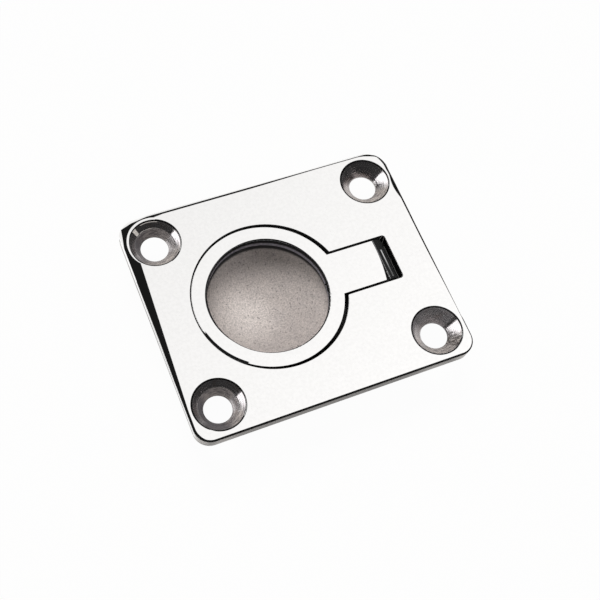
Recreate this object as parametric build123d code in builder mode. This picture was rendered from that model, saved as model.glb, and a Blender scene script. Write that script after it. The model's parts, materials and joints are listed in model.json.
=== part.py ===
from build123d import *

import os
from math import atan2, degrees, radians, sqrt, tan

# Recessed pull handle: a cast plate with a round hollow behind a flush ring. The ring's neck
# ends in a round barrel that turns on a pin, and the pin is staked into the plate's underside.
# Frame: the origin is the middle of the plate on its mounting face, +X runs from the ring to
# the hinge and +Z leaves the exposed face. All sizes are millimetres.

# Mounting plate, whose sides are drafted and wider at the exposed face
PLATE_LENGTH = 48.2
PLATE_WIDTH = 40.1
PLATE_THICKNESS = 2.6
PLATE_DRAFT = 3.0
CORNER_RADIUS = 2.8
WORN_CORNER_RADIUS = 3.6
EDGE_ROUNDING = 0.3

# Facets that polishing left round the exposed face: two points of the line where each one
# leaves that face, and its slope. Each falls away to the left of its line.
FACETS = {
    "ring end": ((-24.02, -20.0), (-21.92, 20.0), 9.0),
    "worn corner": ((-24.2, 16.14), (-20.3, 20.04), 35.0),
    "beside the worn corner": ((-22.5, 18.75), (-17.0, 19.96), 30.0),
    "back": ((-20.0, 19.36), (20.0, 19.56), 20.0),
    "hinge end": ((23.55, 16.0), (23.92, -14.0), 15.0),
}
FACET_REACH = 6.0

# Screw holes
SCREW_SPACING_X = 37.9
SCREW_SPACING_Y = 29.5
SCREW_BORE_RADIUS = 2.3
SCREW_BORE_LENGTH = 0.4
COUNTERSINK_RADIUS = 4.2
SHALLOW_CONE_RADIUS = 3.2
SHALLOW_CONE_DEPTH = 1.0

# Ring, neck and barrel
RING_X = -4.8
RING_INNER_RADIUS = 9.95
RING_BAND = 2.55
RING_THICKNESS = 2.2
RING_UNDER_ROUNDING = 0.7
RING_TOP_ROUNDING = 0.2
RING_TO_HINGE = 20.25
NECK_WIDTH = 7.6
NECK_UNDER_ROUNDING = 0.3
BARREL_RADIUS = 2.1

# Hinge pin, and the seats that are staked shut over it
PIN_RADIUS = 1.0
PIN_SEAT_LENGTH = 1.8
PIN_CHAMFER = 0.2
STAKE_GAP = 1.1
STAKE_MOUTH = 2.6

# Clearances
RING_GAP = 0.35
RING_OFF_CENTRE = 0.25
UNDER_RING_GAP = 0.2
NECK_SIDE_GAP = 0.3
BARREL_GAP = 0.2
PIN_CLEARANCE = 0.05

# Round hollow behind the ring, which overhangs its rim so that a fingertip can hook it
DISH_DEPTH = 4.5
RING_OVERHANG = 1.05
DISH_RIM_ROUNDING = 0.2

# Casting under the plate
CAST_WALL = 1.7
SKIRT_DRAFT = 0.15
SKIRT_ROUNDING = 1.0
CUP_FOOT_RADIUS = 3.5
CHEEK_SKIN = 0.8
HOUSING_END_WALL = 2.0
HOUSING_COVER = 0.8
HOUSING_CORNER_RADIUS = 1.2
HOUSING_DRAFT = 2.0
HOUSING_ROUNDING = 0.4
POCKET_CORNER_RADIUS = 0.5

# Plate's outline on the mounting face
DRAFT_INSET = PLATE_THICKNESS * tan(radians(PLATE_DRAFT))

# Ring and hinge, placed from the sizes above
RING_OUTER_RADIUS = RING_INNER_RADIUS + RING_BAND
RING_UNDERSIDE = PLATE_THICKNESS - RING_THICKNESS
HINGE_X = RING_X + RING_TO_HINGE
HINGE_Z = PLATE_THICKNESS - BARREL_RADIUS
NECK_START = RING_X + sqrt((RING_OUTER_RADIUS - RING_UNDER_ROUNDING) ** 2 - (NECK_WIDTH / 2) ** 2)

# Recess that follows the ring and its neck
RECESS_X = RING_X + RING_OFF_CENTRE
RECESS_RADIUS = RING_OUTER_RADIUS + RING_GAP
LEDGE_Z = RING_UNDERSIDE - UNDER_RING_GAP
SLOT_WIDTH = NECK_WIDTH + 2 * NECK_SIDE_GAP
POCKET_START = HINGE_X - BARREL_RADIUS - BARREL_GAP
POCKET_END = HINGE_X + BARREL_RADIUS + BARREL_GAP

# Hollow, and the cup that keeps an even wall round it
DISH_RIM_RADIUS = RING_INNER_RADIUS + RING_OVERHANG
DISH_RADIUS = (DISH_RIM_RADIUS**2 + DISH_DEPTH**2) / (2 * DISH_DEPTH)
DISH_BOTTOM = LEDGE_Z - DISH_DEPTH
DISH_CENTRE_Z = DISH_BOTTOM + DISH_RADIUS
CUP_RADIUS = DISH_RADIUS + CAST_WALL
CUP_FOOT_Z = DISH_CENTRE_Z - sqrt(CUP_RADIUS**2 - CUP_FOOT_RADIUS**2)
SKIRT_RADIUS = RECESS_RADIUS + CAST_WALL
SKIRT_BOTTOM = LEDGE_Z - CAST_WALL
CUP_SHOULDER_RADIUS = sqrt(CUP_RADIUS**2 - (DISH_CENTRE_Z - SKIRT_BOTTOM) ** 2)

# Hinge housing and pin
PIN_LENGTH = SLOT_WIDTH + 2 * PIN_SEAT_LENGTH
HOUSING_WIDTH = PIN_LENGTH + 2 * CHEEK_SKIN
HOUSING_BOTTOM = HINGE_Z - BARREL_RADIUS - HOUSING_COVER
HOUSING_END = POCKET_END + HOUSING_END_WALL


def upright(x, y, z=0.0):
    """Plane for a section seen from the front: its x is +X and its y is +Z."""
    return Plane((x, y, z), x_dir=(1, 0, 0), z_dir=(0, -1, 0))


def facet_section(start, end):
    """Plane across a line on the exposed face: its x points to the left of the line."""
    along = Vector(end[0] - start[0], end[1] - start[1]).normalized()
    return Plane((*start, PLATE_THICKNESS), x_dir=(-along.Y, along.X, 0), z_dir=(along.X, along.Y, 0))


def screw_hole_profile(at_ring_end):
    """Half section of a screw hole, as radius and height.

    The holes at the hinge end are countersunk in one cone. At the ring end the countersink
    stops early, and the taper of the cast hole shows below it.
    """
    wall = [(SCREW_BORE_RADIUS, 0), (SCREW_BORE_RADIUS, SCREW_BORE_LENGTH)]
    if at_ring_end:
        wall.append((SHALLOW_CONE_RADIUS, PLATE_THICKNESS - SHALLOW_CONE_DEPTH))
    wall.append((COUNTERSINK_RADIUS, PLATE_THICKNESS))
    return [(0, 0), *wall, (0, PLATE_THICKNESS)]


# Cast base: plate, cup and hinge housing in one piece
with BuildPart() as base_casting:
    # Hinge housing, drafted and rounded below the plate
    with BuildSketch(Plane((RECESS_X, 0, 0), x_dir=(1, 0, 0), z_dir=(0, 0, -1))) as block:
        with Locations(((HOUSING_END - RECESS_X) / 2, 0)):
            Rectangle(HOUSING_END - RECESS_X, HOUSING_WIDTH)
        fillet(block.vertices().group_by(Axis.X)[-1], HOUSING_CORNER_RADIUS)
    extrude(amount=-HOUSING_BOTTOM, taper=HOUSING_DRAFT)
    fillet(base_casting.faces().sort_by(Axis.Z)[0].edges(), HOUSING_ROUNDING)

    # Cup round the hollow
    with BuildSketch(upright(RECESS_X, 0)) as cup_section:
        with BuildLine():
            Line((0, CUP_FOOT_Z), (CUP_FOOT_RADIUS, CUP_FOOT_Z))
            RadiusArc((CUP_FOOT_RADIUS, CUP_FOOT_Z), (CUP_SHOULDER_RADIUS, SKIRT_BOTTOM), -CUP_RADIUS)
            Polyline(
                (CUP_SHOULDER_RADIUS, SKIRT_BOTTOM),
                (SKIRT_RADIUS - SKIRT_DRAFT, SKIRT_BOTTOM),
                (SKIRT_RADIUS, 0),
                (0, 0),
                (0, CUP_FOOT_Z),
            )
        make_face()
        fillet(cup_section.vertices().sort_by(Axis.X)[-2], SKIRT_ROUNDING)
    revolve(axis=Axis((RECESS_X, 0, 0), (0, 0, 1)))

    # Plate
    with BuildSketch() as outline:
        Rectangle(PLATE_LENGTH - 2 * DRAFT_INSET, PLATE_WIDTH - 2 * DRAFT_INSET)
        fillet(outline.vertices().sort_by(lambda v: v.X + v.Y)[:-1], CORNER_RADIUS - DRAFT_INSET)
        fillet(outline.vertices().sort_by(lambda v: v.X + v.Y)[-1], WORN_CORNER_RADIUS - DRAFT_INSET)
    extrude(amount=PLATE_THICKNESS, taper=-PLATE_DRAFT)

    # Rounding of the plate's upper rim, then the facets that polishing left across it
    rim = [
        edge
        for edge in base_casting.faces().filter_by(lambda f: abs(f.normal_at().Z) < 0.1).edges()
        if edge.center().Z > PLATE_THICKNESS / 2 and abs(edge.tangent_at(0.5).Z) < 0.5
    ]
    fillet(rim, EDGE_ROUNDING)
    for start, end, slope in FACETS.values():
        facet_drop = FACET_REACH * tan(radians(slope))
        with BuildSketch(facet_section(start, end)):
            with BuildLine():
                Polyline((0, 0), (FACET_REACH, 0), (FACET_REACH, -facet_drop), close=True)
            make_face()
        extrude(amount=PLATE_LENGTH, both=True, mode=Mode.SUBTRACT)

    # Keyhole recess for the ring and its neck, down to the ledge
    with BuildSketch(Plane.XY.offset(LEDGE_Z)) as keyhole:
        with Locations((RECESS_X, 0)):
            Circle(RECESS_RADIUS)
        with Locations(((RECESS_X + POCKET_END) / 2, 0)):
            Rectangle(POCKET_END - RECESS_X, SLOT_WIDTH)
        fillet(keyhole.vertices().group_by(Axis.X)[-1], POCKET_CORNER_RADIUS)
    extrude(amount=PLATE_THICKNESS - LEDGE_Z, mode=Mode.SUBTRACT)

    # Well for the barrel, open below
    with BuildSketch(Plane.XY.offset(HOUSING_BOTTOM)) as well:
        with Locations(((POCKET_START + POCKET_END) / 2, 0)):
            Rectangle(POCKET_END - POCKET_START, SLOT_WIDTH)
        fillet(well.vertices().group_by(Axis.X)[-1], POCKET_CORNER_RADIUS)
    extrude(amount=PLATE_THICKNESS - HOUSING_BOTTOM, mode=Mode.SUBTRACT)

    # Spherical hollow, with its rim eased
    with BuildSketch(upright(RECESS_X, 0)):
        with BuildLine():
            RadiusArc((0, DISH_BOTTOM), (DISH_RIM_RADIUS, LEDGE_Z), -DISH_RADIUS)
            Polyline(
                (DISH_RIM_RADIUS, LEDGE_Z),
                (DISH_RIM_RADIUS, PLATE_THICKNESS),
                (0, PLATE_THICKNESS),
                (0, DISH_BOTTOM),
            )
        make_face()
    revolve(axis=Axis((RECESS_X, 0, 0), (0, 0, 1)), mode=Mode.SUBTRACT)
    dish_rim = base_casting.edges().filter_by(GeomType.CIRCLE).filter_by(
        lambda e: abs(e.radius - DISH_RIM_RADIUS) < 0.01 and abs(e.center().Z - LEDGE_Z) < 0.01
    )
    fillet(dish_rim, DISH_RIM_ROUNDING)

    # Four countersunk screw holes
    for x_side in (-1, 1):
        for y_side in (-1, 1):
            hole_x = x_side * SCREW_SPACING_X / 2
            hole_y = y_side * SCREW_SPACING_Y / 2
            with BuildSketch(upright(hole_x, hole_y)):
                with BuildLine():
                    Polyline(*screw_hole_profile(x_side < 0), close=True)
                make_face()
            revolve(axis=Axis((hole_x, hole_y, 0), (0, 0, 1)), mode=Mode.SUBTRACT)

    # Pin seats: round where they grip the pin, with the mouth they were staked shut through
    with BuildSketch(upright(HINGE_X, 0, HINGE_Z)):
        Circle(PIN_RADIUS)
        with BuildLine():
            Polyline(
                (-STAKE_GAP / 2, -PIN_RADIUS / 2),
                (STAKE_GAP / 2, -PIN_RADIUS / 2),
                (STAKE_GAP / 2, -PIN_RADIUS),
                (STAKE_MOUTH / 2, HOUSING_BOTTOM - HINGE_Z),
                (-STAKE_MOUTH / 2, HOUSING_BOTTOM - HINGE_Z),
                (-STAKE_GAP / 2, -PIN_RADIUS),
                close=True,
            )
        make_face()
    extrude(amount=PIN_LENGTH / 2, both=True, mode=Mode.SUBTRACT)

# Pull ring: flat on top, rounded below, with its neck and barrel in one piece
with BuildPart() as pull_ring:
    with BuildSketch(upright(RING_X, 0)) as band:
        with Locations((RING_INNER_RADIUS + RING_BAND / 2, RING_UNDERSIDE + RING_THICKNESS / 2)):
            Rectangle(RING_BAND, RING_THICKNESS)
        fillet(band.vertices().group_by(Axis.Y)[0], RING_UNDER_ROUNDING)
        fillet(band.vertices().group_by(Axis.Y)[-1].sort_by(Axis.X)[0], RING_TOP_ROUNDING)
    revolve(axis=Axis((RING_X, 0, 0), (0, 0, 1)))

    # Neck, from under the band to the hinge
    with BuildSketch(Plane((NECK_START, 0, RING_UNDERSIDE), x_dir=(0, 1, 0), z_dir=(1, 0, 0))) as neck:
        with Locations((0, RING_THICKNESS / 2)):
            Rectangle(NECK_WIDTH, RING_THICKNESS)
        fillet(neck.vertices().group_by(Axis.Y)[0], NECK_UNDER_ROUNDING)
    extrude(amount=HINGE_X - NECK_START)

    # Barrel and its bore
    with BuildSketch(upright(HINGE_X, 0, HINGE_Z)):
        Circle(BARREL_RADIUS)
    extrude(amount=NECK_WIDTH / 2, both=True)
    with BuildSketch(upright(HINGE_X, 0, HINGE_Z)):
        Circle(PIN_RADIUS + PIN_CLEARANCE)
    extrude(amount=NECK_WIDTH / 2, both=True, mode=Mode.SUBTRACT)

# Hinge pin
with BuildPart() as hinge_pin:
    with BuildSketch(upright(HINGE_X, 0, HINGE_Z)):
        Circle(PIN_RADIUS)
    extrude(amount=PIN_LENGTH / 2, both=True)
    chamfer(hinge_pin.faces().filter_by(Axis.Y).edges(), PIN_CHAMFER)

base_casting.part.label = "base_casting"
pull_ring.part.label = "pull_ring"
hinge_pin.part.label = "hinge_pin"

os.makedirs("parts", exist_ok=True)
export_step(base_casting.part, "parts/base_casting.step")
export_step(pull_ring.part, "parts/pull_ring.step")
export_step(hinge_pin.part, "parts/hinge_pin.step")

# The ring stops when the flat of its neck meets the edge of the slot
stop_angle = 2 * degrees(atan2(POCKET_END - HINGE_X, BARREL_RADIUS))
print(f"hinge axis at x {HINGE_X:.2f}, z {HINGE_Z:.2f}; the ring stops at {stop_angle:.1f} degrees")
print(f"overall depth {PLATE_THICKNESS - CUP_FOOT_Z:.2f}, cut-out radius {SKIRT_RADIUS:.2f}")
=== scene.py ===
import json
from math import radians

import bmesh
import bpy
from mathutils import Matrix, Vector

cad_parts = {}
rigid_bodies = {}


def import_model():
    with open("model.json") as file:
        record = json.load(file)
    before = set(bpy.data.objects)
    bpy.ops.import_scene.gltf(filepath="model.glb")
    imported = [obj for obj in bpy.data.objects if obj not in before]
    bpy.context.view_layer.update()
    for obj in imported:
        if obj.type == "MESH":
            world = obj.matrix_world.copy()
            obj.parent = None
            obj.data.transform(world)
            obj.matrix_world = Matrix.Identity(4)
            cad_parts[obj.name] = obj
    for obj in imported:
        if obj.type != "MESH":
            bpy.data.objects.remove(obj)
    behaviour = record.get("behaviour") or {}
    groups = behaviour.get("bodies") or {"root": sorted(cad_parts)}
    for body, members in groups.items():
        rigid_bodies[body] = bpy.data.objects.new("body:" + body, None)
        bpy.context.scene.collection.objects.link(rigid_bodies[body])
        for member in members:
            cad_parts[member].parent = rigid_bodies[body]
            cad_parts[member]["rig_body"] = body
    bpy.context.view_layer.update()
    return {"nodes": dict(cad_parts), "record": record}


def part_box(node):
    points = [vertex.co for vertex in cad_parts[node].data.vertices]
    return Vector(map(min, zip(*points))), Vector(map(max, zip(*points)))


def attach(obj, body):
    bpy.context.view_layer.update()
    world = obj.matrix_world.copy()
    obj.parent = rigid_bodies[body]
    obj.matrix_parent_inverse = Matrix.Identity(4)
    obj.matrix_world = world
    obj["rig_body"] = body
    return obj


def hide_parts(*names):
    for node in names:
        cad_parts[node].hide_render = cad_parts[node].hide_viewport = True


# Polished cast ring pull. The casting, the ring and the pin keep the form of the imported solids,
# with their edges eased as polishing leaves them and with the finish of each surface.

MM = 0.001

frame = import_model()

# Sizes read from the frame, in metres
PLATE_LOW, PLATE_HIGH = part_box("base_casting")
FACE_Z = PLATE_HIGH.z
HOLES = next(mount for mount in frame["record"]["mounts"] if mount["name"] == "screw_holes")["dims"]
HOLE_X = HOLES["spacing_x_mm"] / 2 * MM
HOLE_Y = HOLES["spacing_y_mm"] / 2 * MM
RING_LOW, RING_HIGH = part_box("pull_ring")
RING_RADIUS = (RING_HIGH.y - RING_LOW.y) / 2
RING_X = RING_LOW.x + RING_RADIUS
SLOT_END = 17.9 * MM

# Sizes of the finish
WELD = 0.0001 * MM
COPLANAR = radians(0.3)
CREASE = radians(34)
EASED_EDGE = 0.09 * MM
COUNTERSINK_REACH = 4.4 * MM
FACE_BAND = 0.45 * MM
FACET_WIDTH = 0.2 * MM
HOLLOW_REACH = 11.3 * MM

# Sizes that the shaders follow, in millimetres
HALF_LENGTH = 24.1
HALF_WIDTH = 20.05
CORNER = 2.8
ROUNDER_CORNER = 3.6
HOLE_RIM = 4.36
LINE_SOFTNESS = 0.015
BUFFED_ROUGHNESS = (0.02, 0.06)

# Directions of the metal where the wheel left it level and where it tilted it, as normals
LEVEL = (0.0, 0.0, 1.0)
TILTED = (-0.35, -0.35, 0.87)

# Camera fitted to the photograph. Its shift is in widths of the frame, about half a pixel
CAMERA_PLACE = Vector((-48.866, -64.095, 160.372)) * MM
CAMERA_TARGET = Vector((-0.324, -2.573, 2.6)) * MM
CAMERA_ROLL = radians(17.54)
CAMERA_LENS = 65.44
CAMERA_SHIFT = (-0.0005, 0.0008)

# Studio. The card's edge is in millimetres from the handle's middle
FLOOR_SIZE = 2.4
CARD_EDGE = (36.0, 48.0)
PANEL_TURN = (radians(5), radians(66))
PANEL_GLOW = 1.7
WALL_GLOW = 0.012

# Lamps that light the matt surfaces: direction, strength and angle
LAMPS = {
    "key": ((0.0, 0.545, 0.839), 2.7, 30),
    "fill_right": ((0.776, -0.137, 0.616), 0.86, 30),
    "fill_front": ((-0.398, -0.569, 0.719), 0.7, 25),
}


class Value:
    """A number or a vector on the surface, as a shader works it out."""

    def __init__(self, shader, socket):
        self.shader = shader
        self.socket = socket

    def math(self, operation, *others, swap=False):
        operands = (*others, self) if swap else (self, *others)
        return self.shader.node("Math", {"operation": operation}, dict(enumerate(operands)))

    def __add__(self, other):
        return self.math("ADD", other)

    __radd__ = __add__

    def __sub__(self, other):
        return self.math("SUBTRACT", other)

    def __rsub__(self, other):
        return self.math("SUBTRACT", other, swap=True)

    def __mul__(self, other):
        return self.math("MULTIPLY", other)

    __rmul__ = __mul__

    def __truediv__(self, other):
        return self.math("DIVIDE", other)

    def __pow__(self, other):
        return self.math("POWER", other)

    def __abs__(self):
        return self.math("ABSOLUTE")

    def sqrt(self):
        return self.math("SQRT")

    def sign(self):
        return self.math("SIGN")

    def least(self, other):
        return self.math("MINIMUM", other)

    def most(self, other):
        return self.math("MAXIMUM", other)

    def ramp(self, start, end, low=0.0, high=1.0):
        """Runs smoothly from low at start to high at end, and stays there."""
        settings = {"interpolation_type": "SMOOTHSTEP"}
        inputs = {"Value": self, "From Min": start, "From Max": end, "To Min": low, "To Max": high}
        return self.shader.node("MapRange", settings, inputs)


class Shader:
    """A node tree that is built from expressions."""

    def __init__(self, tree):
        self.tree = tree
        self.tree.nodes.clear()

    def node(self, kind, settings=None, inputs=None, output=0):
        """Adds a node and gives its output as a value."""
        made = self.tree.nodes.new("ShaderNode" + kind)
        for name, setting in (settings or {}).items():
            setattr(made, name, setting)
        for name, given in (inputs or {}).items():
            if isinstance(given, Value):
                self.tree.links.new(given.socket, made.inputs[name])
            else:
                made.inputs[name].default_value = given
        return Value(self, made.outputs[output]) if made.outputs else None

    def place(self):
        """Place on the object in millimetres, as a vector."""
        coordinates = self.node("TexCoord", output="Object")
        return self.node("VectorMath", {"operation": "SCALE"}, {0: coordinates, "Scale": 1 / MM})

    def split(self, vector):
        """The three numbers of a vector."""
        first = self.node("SeparateXYZ", inputs={0: vector})
        return [Value(self, socket) for socket in first.socket.node.outputs]

    def join(self, x, y, z):
        return self.node("CombineXYZ", inputs={"X": x, "Y": y, "Z": z})

    def from_hole(self, x, y):
        """Place from the middle of the nearest screw hole, and the distance from it."""
        across = x - x.sign() * (HOLE_X / MM)
        up = y - y.sign() * (HOLE_Y / MM)
        return across, up, (across * across + up * up).sqrt()

    def noise(self, vector, size, detail=2.0, roughness=0.5):
        """Cloudy noise from 0 to 1, whose patches are about the given size."""
        inputs = {"Vector": vector, "Scale": 1 / size, "Detail": detail, "Roughness": roughness}
        return self.node("TexNoise", None, inputs)

    def blend(self, share, first, second):
        """The first colour where the share is 0, and the second where it is 1."""
        inputs = {"Factor": share, 6: first, 7: second}
        return self.node("Mix", {"data_type": "RGBA"}, inputs, output=2)

    def steer(self, share, normal, direction):
        """The normal where the share is 0, and the object's given direction where it is 1."""
        settings = {"vector_type": "NORMAL", "convert_from": "OBJECT", "convert_to": "WORLD"}
        turned = self.node("VectorTransform", settings, {"Vector": direction})
        inputs = {"Factor": share, 4: normal, 5: turned}
        return self.node("Mix", {"data_type": "VECTOR"}, inputs, output=1)

    def bump(self, height, depth):
        """A normal that follows a height from 0 to 1, which stands for the given depth."""
        return self.node("Bump", None, {"Height": height, "Distance": depth, "Strength": 1.0})


class Finish(Shader):
    """A material for one of the metal's surfaces."""

    def __init__(self, name):
        self.material = bpy.data.materials.new(name)
        self.material.use_nodes = True
        super().__init__(self.material.node_tree)

    def buffing(self, place):
        """Haze, fine mottle and broad waves that the buffing wheel left, from 0 to 1."""
        haze = self.noise(place, 2.6, detail=3.0)
        mottle = self.noise(place, 0.5, detail=3.0)
        waves = self.noise(place, 7.0, detail=1.0)
        return haze, mottle, waves

    def metal(self, **inputs):
        """Ends the material in a metal with these inputs."""
        named = {name.replace("_", " "): given for name, given in inputs.items()}
        surface = self.node("BsdfPrincipled", None, {"Metallic": 1.0, **named})
        self.node("OutputMaterial", None, {"Surface": surface})
        return self.material


def grey(value, warmth=0.0):
    """A nearly neutral colour. Warmth takes a share of the blue away, and half as much green."""
    return (value, value * (1 - warmth / 2), value * (1 - warmth), 1)


def step(value):
    """1 where the value is above 0, with a soft edge."""
    return value.ramp(-LINE_SOFTNESS, LINE_SOFTNESS)


def window(value, start, end, soft):
    """1 between two values, 0 outside them, with soft edges."""
    return value.ramp(start - soft, start + soft) * value.ramp(end - soft, end + soft, 1.0, 0.0)


def between(share, first, second):
    """The first number where the share is 0, and the second where it is 1."""
    return first + (second - first) * share


def inside_outline(x, y):
    """Distance inside the plate's outline, which one corner rounds more than the others."""
    rounder = x.ramp(-1.0, 1.0) * y.ramp(-1.0, 1.0)
    bend = CORNER + rounder * (ROUNDER_CORNER - CORNER)
    over_x = (abs(x) + bend - HALF_LENGTH).most(0.0)
    over_y = (abs(y) + bend - HALF_WIDTH).most(0.0)
    return bend - (over_x * over_x + over_y * over_y).sqrt()


def wheel_marks(x, y, radius):
    """Where the wheel tilted the metal at the plate's rim, and where it left it level."""
    inside = inside_outline(x, y)
    left = x.ramp(-23.6, -22.6, 1.0, 0.0)
    right = x.ramp(22.6, 23.6)
    back = y.ramp(18.5, 19.3)
    # The tilted band along the rim begins at this distance inside the outline
    lens = y.ramp(-14.0, 2.0, 0.26, 0.47) + window(y, 10.9, 13.7, 1.4) * 0.5
    first = between(right, between(left, 0.25, 0.4), lens)
    thick = x.ramp(-17.6, -15.6, 0.78, 0.64) - x.ramp(-2.0, 14.0) * 0.2 + x.ramp(19.5, 21.5) * 0.2
    first = between(back, first + right * y.ramp(14.5, 16.0) * 0.1, thick)
    # It ends at this distance, and runs over the edge where that is below 0
    last = between(left, -1.0, y.ramp(-12.0, 0.0, 0.04, 0.12))
    last = between(right, last, y.ramp(-16.0, -13.5, -0.3, 0.2) - y.ramp(4.0, 8.0) * 0.05)
    last = between(back, last, 0.26)
    # It widens to a wedge at the ring end, and to the whole of the worn corner
    wear_and_painted_light = x.ramp(-17.55, -17.45, 1.0, 0.0) * y.ramp(9.0, 9.1)
    band = step(first - inside) * (1.0 - wear_and_painted_light)
    wedge = step(y * 0.0525 - 22.95 - x)
    tilted = band.most(wedge).most(wear_and_painted_light * y.ramp(14.65, 14.75))
    # The hole's raised lip and the outermost rim stayed level
    lip = step(y.ramp(14.0, 19.0, 4.42, 4.68) - radius)
    beyond = ((y * 0.193 - 26.9).most(-23.93) - x).most(y - (x * 0.13 + 22.2).least(19.79))
    outermost = lip.most(between(wear_and_painted_light, step(last - inside), step(beyond)))
    level = outermost.most(step(0.7 - inside) * (1.0 - wear_and_painted_light))
    return tilted * (1.0 - outermost), level * (radius + wear_and_painted_light * 0.07).ramp(4.34, 4.37)


def mirror_polish():
    """Buffed stainless steel: nearly a mirror, with faint haze and waves from the buffing wheel."""
    finish = Finish("mirror_polish")
    place = finish.place()
    x, y, z = finish.split(place)
    haze, mottle, waves = finish.buffing(place)
    _, _, radius = finish.from_hole(x, y)
    # Rounded rims of the screw holes
    rims = (HOLE_RIM - radius).most(0.0) * -0.3
    tilted, level = wheel_marks(x, y, radius)
    high = step(z - y.ramp(16.0, 18.0, 2.18, 1.3))
    normal = finish.bump(waves * 0.02 + rims, MM)
    normal = finish.steer(level * high, normal, LEVEL)
    normal = finish.steer(tilted * high, normal, TILTED)
    # The wall at the ring end is painted bright, as a painted reflection of the white floor, with a painted
    # shadow line along its foot
    wall = x.ramp(-23.98, -23.9, 1.0, 0.0) * z.ramp(2.3, 2.4, 1.0, 0.0)
    foot_shadow = wall * z.ramp(0.75, 0.85, 1.0, 0.0) * y.ramp(-6.0, 2.0)
    colour = finish.blend(mottle.ramp(0.3, 0.7), grey(0.79, 0.02), grey(0.825, 0.02))
    colour = finish.blend(wall, colour, grey(0.97))
    return finish.metal(
        Base_Color=finish.blend(foot_shadow, colour, grey(0.05)),
        Roughness=haze.ramp(0.3, 0.8, *BUFFED_ROUGHNESS),
        Normal=normal,
    )


def polished_ring():
    """The ring's polish. Its neck rolls off towards the barrel, more on one side."""
    finish = Finish("polished_ring")
    place = finish.place()
    x, y, z = finish.split(place)
    haze, mottle, waves = finish.buffing(place)
    edge = 15.37 - (2.0 - y) ** 2.0 * 0.018
    roll = (x - edge).most(0.0).least(0.7) * -0.08
    # The eye's edge was rounded by hand, so its radius wanders round the ring
    across = x - RING_X / MM
    radius = (across * across + y * y).sqrt()
    turn = y.math("ARCTAN2", across)
    wander = (turn - radians(120)).math("COSINE") * 0.1 + (turn * 3.0 - radians(180)).math("COSINE") * 0.1
    outer_edge = step(radius - 12.15) * window(turn, radians(-163), radians(-130), radians(8))
    edges = step(10.14 + wander - radius).most(outer_edge) * step(z - 2.18)
    normal = finish.steer(edges, finish.bump(waves * 0.02 + roll, MM), TILTED)
    # Painted highlights: a bright line along the barrel, and a short one where the neck rolls off, with
    # normals turned towards the softbox and a colour that fades them towards the front
    painted_gleam = window(x, 16.08, 16.3, 0.03) * window(y, -3.4, 1.8, 0.1)
    painted_gleam = painted_gleam.most(window(x, 15.38, 15.58, 0.03) * window(y, -3.3, -2.4, 0.2)) * step(z - 2.0)
    normal = finish.steer(painted_gleam, normal, LEVEL)
    # Below its polished edge the eye's wall is left as cast
    wall = radius.ramp(10.0, 10.06, 1.0, 0.0)
    # Painted shade: the top of the eye's wall and the barrel beyond the neck's flat are painted nearly black
    shadow = (wall * z.ramp(1.6, 1.8)).most(x.ramp(15.4, 15.6) * (1.0 - painted_gleam))
    bare = wall.most(shadow)
    colour = finish.blend(mottle.ramp(0.3, 0.7), grey(0.80, 0.02), grey(0.83, 0.02))
    skin = finish.blend(mottle.ramp(0.3, 0.7), (0.19, 0.185, 0.215, 1), (0.30, 0.29, 0.33, 1))
    colour = finish.blend(bare, colour, skin)
    painted_gleam_colour = finish.blend(y.ramp(-2.4, 0.9), grey(0.10), grey(0.45))
    colour = finish.blend(painted_gleam, colour, painted_gleam_colour)
    return finish.metal(
        Base_Color=finish.blend(shadow, colour, grey(0.015)),
        Metallic=1.0 - bare,
        Roughness=haze.ramp(0.3, 0.8, *BUFFED_ROUGHNESS) + bare * 0.5,
        Specular_IOR_Level=0.15,
        Normal=normal,
    )


def satin_cast():
    """Blasted casting skin in the hollow and underneath: matt, with specks."""
    finish = Finish("satin_cast")
    place = finish.place()
    x, y, z = finish.split(place)
    grain = finish.noise(place, 0.25, detail=3.0, roughness=0.7)
    cloud = finish.noise(place, 2.2, detail=3.0)
    colour = finish.blend(cloud.ramp(0.3, 0.7), (0.54, 0.484, 0.46, 1), (0.61, 0.545, 0.51, 1))
    # Painted light: the hollow is painted brighter round a spot at its left and towards the back
    lit_x = x + 8.0
    lit_y = y - 0.5
    wear_and_painted_light = (lit_x * lit_x + lit_y * lit_y).sqrt().ramp(0.5, 8.0, 0.8, 0.0)
    wear_and_painted_light = wear_and_painted_light.most(y.ramp(-5.0, 5.0, 0.0, 0.3))
    colour = finish.blend(wear_and_painted_light, colour, (0.86, 0.785, 0.74, 1))
    # Painted shade towards the back of the hollow, under the ring
    colour = finish.blend(y.ramp(4.0, 9.0) * 0.25, colour, (0.10, 0.085, 0.095, 1))
    colour = finish.blend(grain.ramp(0.3, 0.7, 0.5, 0.0), colour, (0.10, 0.085, 0.08, 1))
    specks = finish.noise(place, 0.45, detail=2.0, roughness=0.6).ramp(0.62, 0.68)
    colour = finish.blend(specks * 0.6, colour, grey(0.10, 0.1))
    # Painted shade under the ring, round the hollow's rim
    colour = finish.blend(z.ramp(-0.75, -0.5), colour, grey(0.03))
    return finish.metal(
        Base_Color=colour,
        Metallic=0.15,
        Roughness=0.55,
        Normal=finish.bump(grain, 0.02 * MM),
    )


def recess_shade():
    """Walls of the recess, as cast and never reached by the wheel, painted nearly black as painted shade."""
    finish = Finish("recess_shade")
    place = finish.place()
    grain = finish.noise(place, 0.2, detail=3.0)
    return finish.metal(
        Base_Color=finish.blend(grain, grey(0.03), grey(0.07)),
        Metallic=0.5,
        Roughness=0.4,
        Normal=finish.bump(grain, 0.012 * MM),
    )


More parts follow.
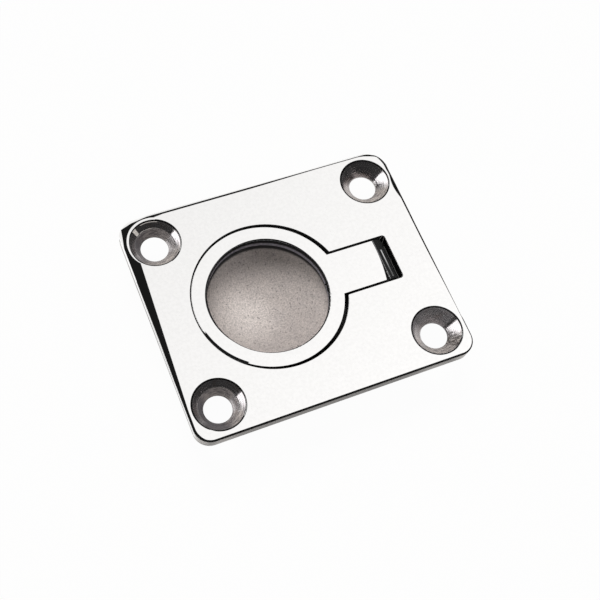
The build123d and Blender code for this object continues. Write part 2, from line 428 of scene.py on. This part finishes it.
def turned_countersink():
    """Countersink as the tool left it: rings round the hole, and chatter across them."""
    finish = Finish("turned_countersink")
    place = finish.place()
    x, y, z = finish.split(place)
    across, up, radius = finish.from_hole(x, y)
    turn = up.math("ARCTAN2", across)
    ring_end = x.ramp(-1.0, 1.0, 1.0, 0.0)
    hinge_end = 1.0 - ring_end
    front = y.ramp(-1.0, 1.0, 1.0, 0.0)
    back = 1.0 - front
    # A number of its own for each hole, so that no two look the same
    hole = x.sign() * 3.0 + y.sign() * 5.0
    rings = finish.noise(finish.join(radius + z, hole, turn * 0.12), 0.22, detail=3.0)
    chatter = finish.noise(finish.join(radius * 0.5, hole, turn * 2.0), 0.22, detail=2.0)
    mottle = finish.noise(place, 0.35, detail=3.0)
    stain = finish.noise(place, 1.6, detail=2.0)
    cast = radius.ramp(3.15, 3.3, 1.0, 0.0) * ring_end
    colour = finish.blend(rings.ramp(0.35, 0.65), (0.62, 0.58, 0.60, 1), (0.95, 0.92, 0.92, 1))
    colour = finish.blend(stain.ramp(0.5, 0.75) * 0.5, colour, (0.62, 0.50, 0.45, 1))
    # Painted highlights where light catches the hole: a narrow flat, the taper's edge, and an arc under one
    # rim
    flat = window(turn, radians(122), radians(133), radians(1)) * radius.ramp(3.0, 3.4)
    flat = flat * between(ring_end, 0.5, 1.0) * between(front, 1.0, 0.4)
    taper_edge = window(radius, 3.18, 3.27, 0.02) * window(turn, radians(-30), radians(125), radians(8))
    arc = window(radius, 3.95, 4.03, 0.02) * window(turn, radians(62), radians(110), radians(8))
    glint = flat.most(taper_edge * ring_end * 0.8).most(arc * ring_end * back)
    # A matt film lies in the taper, with less of it where the taper is lit, and painted shade lies as a dark
    # film on the side that faces away from the softbox; a thin film lies on the far side of the front hole
    # at the hinge end
    away = turn.ramp(-3.0, -2.4) * turn.ramp(-0.75, -0.15, 1.0, 0.0)
    lit = window(turn, radians(-35), radians(18), radians(4))
    veil = window(turn, radians(20), radians(175), radians(4)) * hinge_end * front
    film_and_shade = (cast * (0.85 - lit * 0.5)).most(away * 0.8).most(veil * 0.3) * (1.0 - glint)
    pale = finish.blend(cast, (0.54, 0.48, 0.43, 1), (0.34, 0.30, 0.28, 1))
    pale = finish.blend(veil, pale, (0.34, 0.31, 0.34, 1))
    # Painted shade: darkest at the left of the two holes at the ring end, and below in the front one
    deep_shade = ((across * -0.8 - up * 0.6) / radius).ramp(0.2, 0.7) * ring_end * front
    pale = finish.blend(deep_shade, pale, (0.015, 0.012, 0.015, 1))
    shade = (across / radius).ramp(-0.95, -0.35, 1.0, 0.0) * ring_end
    pale = finish.blend(shade, pale, (0.05, 0.043, 0.052, 1))
    streaks = finish.noise(finish.join(radius * 0.6 + z, hole, turn * 0.8), 0.3, detail=4.0, roughness=0.7)
    film_and_shade_colour = finish.blend(streaks.ramp(0.35, 0.6), (0.06, 0.05, 0.055, 1), pale)
    colour = finish.blend(film_and_shade, colour, film_and_shade_colour)
    colour = finish.blend(glint, colour, (0.45, 0.42, 0.39, 1))
    # The tool chattered across one hole at the hinge end, and every outer edge is painted dark as painted
    # shade
    stripes = window(turn, radians(-60), radians(-24), radians(3)) * chatter.ramp(0.42, 0.55)
    colour = finish.blend(stripes * hinge_end * front * 0.8, colour, (0.05, 0.042, 0.038, 1))
    colour = finish.blend(radius.ramp(4.06, 4.12), colour, grey(0.03))
    relief = finish.bump(rings * 0.022 + chatter * 0.006 + mottle * 0.003, MM)
    return finish.metal(
        Base_Color=colour,
        Metallic=0.96 - film_and_shade * 0.6,
        Roughness=mottle.ramp(0.3, 0.7, 0.09, 0.17) + film_and_shade * 0.3,
        Normal=finish.steer(glint, relief, LEVEL),
    )


def drawn_wire():
    """Plain stainless wire of the pin, with its drawing marks along its length."""
    finish = Finish("drawn_wire")
    x, y, z = finish.split(finish.place())
    marks = finish.noise(finish.join(x, y * 0.05, z), 0.08, detail=2.0)
    return finish.metal(
        Base_Color=finish.blend(marks, grey(0.50, 0.02), grey(0.62, 0.02)),
        Roughness=0.35,
        Normal=finish.bump(marks, 0.004 * MM),
    )


def is_facet(face):
    """Whether a face is one of the flat facets that polishing left round the exposed face."""
    slope = face.normal.angle(Vector((0, 0, 1)))
    width = 2 * face.calc_area() / face.calc_perimeter()
    return radians(5) < slope < radians(40) and width > FACET_WIDTH and face.calc_center_median().z > 2 * MM


def eased_copy(node, name):
    """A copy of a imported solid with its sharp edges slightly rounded, as a plain mesh."""
    shell = bmesh.new()
    shell.from_mesh(frame["nodes"][node].data)
    bmesh.ops.remove_doubles(shell, verts=shell.verts, dist=WELD)
    bmesh.ops.dissolve_limit(shell, angle_limit=COPLANAR, verts=shell.verts, edges=shell.edges)
    for face in shell.faces:
        face.smooth = not is_facet(face)
    mesh = bpy.data.meshes.new(name)
    shell.to_mesh(mesh)
    shell.free()
    mesh.materials.clear()
    piece = bpy.data.objects.new(name, mesh)
    bpy.context.scene.collection.objects.link(piece)
    ease = piece.modifiers.new("eased_edges", "BEVEL")
    ease.width = EASED_EDGE
    ease.segments = 2
    ease.limit_method = "ANGLE"
    ease.angle_limit = CREASE
    ease.use_clamp_overlap = False
    level = piece.modifiers.new("level_faces", "WEIGHTED_NORMAL")
    level.mode = "FACE_AREA_WITH_ANGLE"
    level.weight = 100
    level.keep_sharp = True
    plain = bpy.data.meshes.new_from_object(piece.evaluated_get(bpy.context.evaluated_depsgraph_get()))
    piece.modifiers.clear()
    piece.data = plain
    plain.name = name
    # Easing runs past some short edges, so its points are held inside the solid's own box
    low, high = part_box(node)
    for vertex in plain.vertices:
        vertex.co = [min(max(value, least), most) for value, least, most in zip(vertex.co, low, high)]
    return piece


def over_screw_hole(point):
    """Whether a point of the casting lies in one of its four screw holes."""
    across = Vector((abs(point.x) - HOLE_X, abs(point.y) - HOLE_Y))
    return across.length < COUNTERSINK_REACH and 0 < point.z < FACE_Z - 0.01 * MM


def in_recess(point):
    """Whether a point of the casting lies in the recess for the ring, above the hollow."""
    from_ring = (point.xy - Vector((RING_X, 0))).length
    along_neck = RING_X < point.x < SLOT_END and abs(point.y) < 4.3 * MM
    return 0.15 * MM < point.z < FACE_Z - 0.02 * MM and (11.2 * MM < from_ring < 13.5 * MM or along_neck)


def paint_casting(piece):
    """Gives each face of the casting the finish of the surface it belongs to."""
    for material in (mirror_polish(), satin_cast(), turned_countersink(), recess_shade()):
        piece.data.materials.append(material)
    for face in piece.data.polygons:
        centre = face.center
        in_hollow = (centre.xy - Vector((RING_X, 0))).length < HOLLOW_REACH and centre.z < FACE_Z - FACE_BAND
        if over_screw_hole(centre):
            face.material_index = 2
        elif in_recess(centre):
            face.material_index = 3
        elif in_hollow or face.normal.z < -0.3 or centre.z < 0.01 * MM:
            face.material_index = 1


def settle(piece, node):
    """Lets a finished piece stand for its node and ride on the node's body."""
    body = frame["nodes"][node]["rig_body"]
    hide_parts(node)
    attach(piece, body)


def add_pieces():
    casting = eased_copy("base_casting", "polished_casting")
    paint_casting(casting)
    settle(casting, "base_casting")
    ring = eased_copy("pull_ring", "polished_ring")
    ring.data.materials.append(polished_ring())
    settle(ring, "pull_ring")
    pin = eased_copy("hinge_pin", "wire_pin")
    pin.data.materials.append(drawn_wire())
    settle(pin, "hinge_pin")


def add_camera():
    camera = bpy.data.objects.new("camera", bpy.data.cameras.new("camera"))
    camera.data.lens = CAMERA_LENS
    camera.data.shift_x, camera.data.shift_y = CAMERA_SHIFT
    camera.data.clip_start = 0.01
    camera.location = CAMERA_PLACE
    aim = (CAMERA_TARGET - CAMERA_PLACE).to_track_quat("-Z", "Y").to_matrix()
    camera.rotation_mode = "QUATERNION"
    camera.rotation_quaternion = (aim @ Matrix.Rotation(CAMERA_ROLL, 3, "Z")).to_quaternion()
    bpy.context.scene.collection.objects.link(camera)
    bpy.context.scene.camera = camera


def seen_rays(shader):
    """1 for the camera's rays, and 1 for rays that metal mirrors or glass lets through."""
    rays = shader.node("LightPath").socket.node.outputs
    camera, glossy, through = (
        Value(shader, rays[kind + " Ray"]) for kind in ("Is Camera", "Is Glossy", "Is Transmission")
    )
    return camera, glossy.most(through)


def add_floor():
    """Pale floor under the handle. It shows white, with the handle's faint shadow."""
    mesh = bpy.data.meshes.new("floor")
    half = FLOOR_SIZE / 2
    low = PLATE_LOW.z - 0.05 * MM
    corners = [(-half, -half, low), (half, -half, low), (half, half, low), (-half, half, low)]
    mesh.from_pydata(corners, [], [(0, 1, 2, 3)])
    floor = bpy.data.objects.new("floor", mesh)
    bpy.context.scene.collection.objects.link(floor)
    paper = Finish("white_paper")
    x, y, _ = paper.split(paper.place())
    camera, mirrored = seen_rays(paper)
    # Metal mirrors a grey card close round the handle, brighter beside the white panel at the left
    beside = x.ramp(-24.3, -24.2, 1.0, 0.0) * y.ramp(-20.0, -14.0)
    away = (x * x + y * y).sqrt()
    panel = window(y.math("ARCTAN2", x * -1.0), *PANEL_TURN, radians(4)) * away.ramp(45.0, 60.0)
    beside = beside.most(panel * 0.7)
    card = away.ramp(*CARD_EDGE, 1.0, 0.0)
    colour = paper.blend(mirrored * (1.0 - card.most(beside)), grey(0.5, 0.08), grey(0.02))
    matt = paper.node("BsdfDiffuse", None, {"Color": colour})
    glow = paper.node("Emission", None, {"Color": grey(1.0), "Strength": 1.0})
    share = (camera * 0.97).most(mirrored * (card * 0.1).most(beside))
    surface = paper.node("MixShader", None, {0: share, 1: matt, 2: glow})
    paper.node("OutputMaterial", None, {"Surface": surface})
    mesh.materials.append(paper.material)


def add_lamp(name, kind, direction, distance, **settings):
    lamp = bpy.data.objects.new(name, bpy.data.lights.new(name, kind))
    for setting, value in settings.items():
        setattr(lamp.data, setting, value)
    lamp.location = direction.normalized() * distance
    lamp.rotation_euler = direction.to_track_quat("Z", "Y").to_euler()
    lamp.visible_camera = False
    bpy.context.scene.collection.objects.link(lamp)
    return lamp


def add_lights():
    for name, (direction, energy, angle) in LAMPS.items():
        sun = add_lamp(name, "SUN", Vector(direction), 1.0, energy=energy, angle=radians(angle))
        sun.visible_glossy = False


def add_room():
    """The room that the metal mirrors: a softbox overhead, a low white panel at the left, and
    dark walls."""
    world = bpy.data.worlds.new("room")
    bpy.context.scene.world = world
    world.use_nodes = True
    room = Shader(world.node_tree)
    x, y, z = room.split(room.node("TexCoord", output="Generated"))
    softbox = x.ramp(-0.02, 0.15) * x.ramp(0.45, 0.46, 1.0, 0.0) * window(y, 0.17, 0.68, 0.01)
    softbox = softbox * z.ramp(0.0, 0.1) * (1.24 + x * 0.25 - y * 0.45)
    panel = window(y.math("ARCTAN2", x * -1.0), *PANEL_TURN, radians(1)) * window(z, -0.02, 0.5, 0.02)
    radiance = WALL_GLOW + softbox + panel * PANEL_GLOW
    rays = room.node("LightPath", output="Is Camera Ray")
    strength = rays + (1 - rays) * radiance
    background = room.node("Background", None, {"Color": grey(1.0), "Strength": strength})
    room.node("OutputWorld", None, {"Surface": background})


add_pieces()
add_camera()
add_floor()
add_lights()
add_room()
bpy.context.scene.view_settings.view_transform = "Standard"
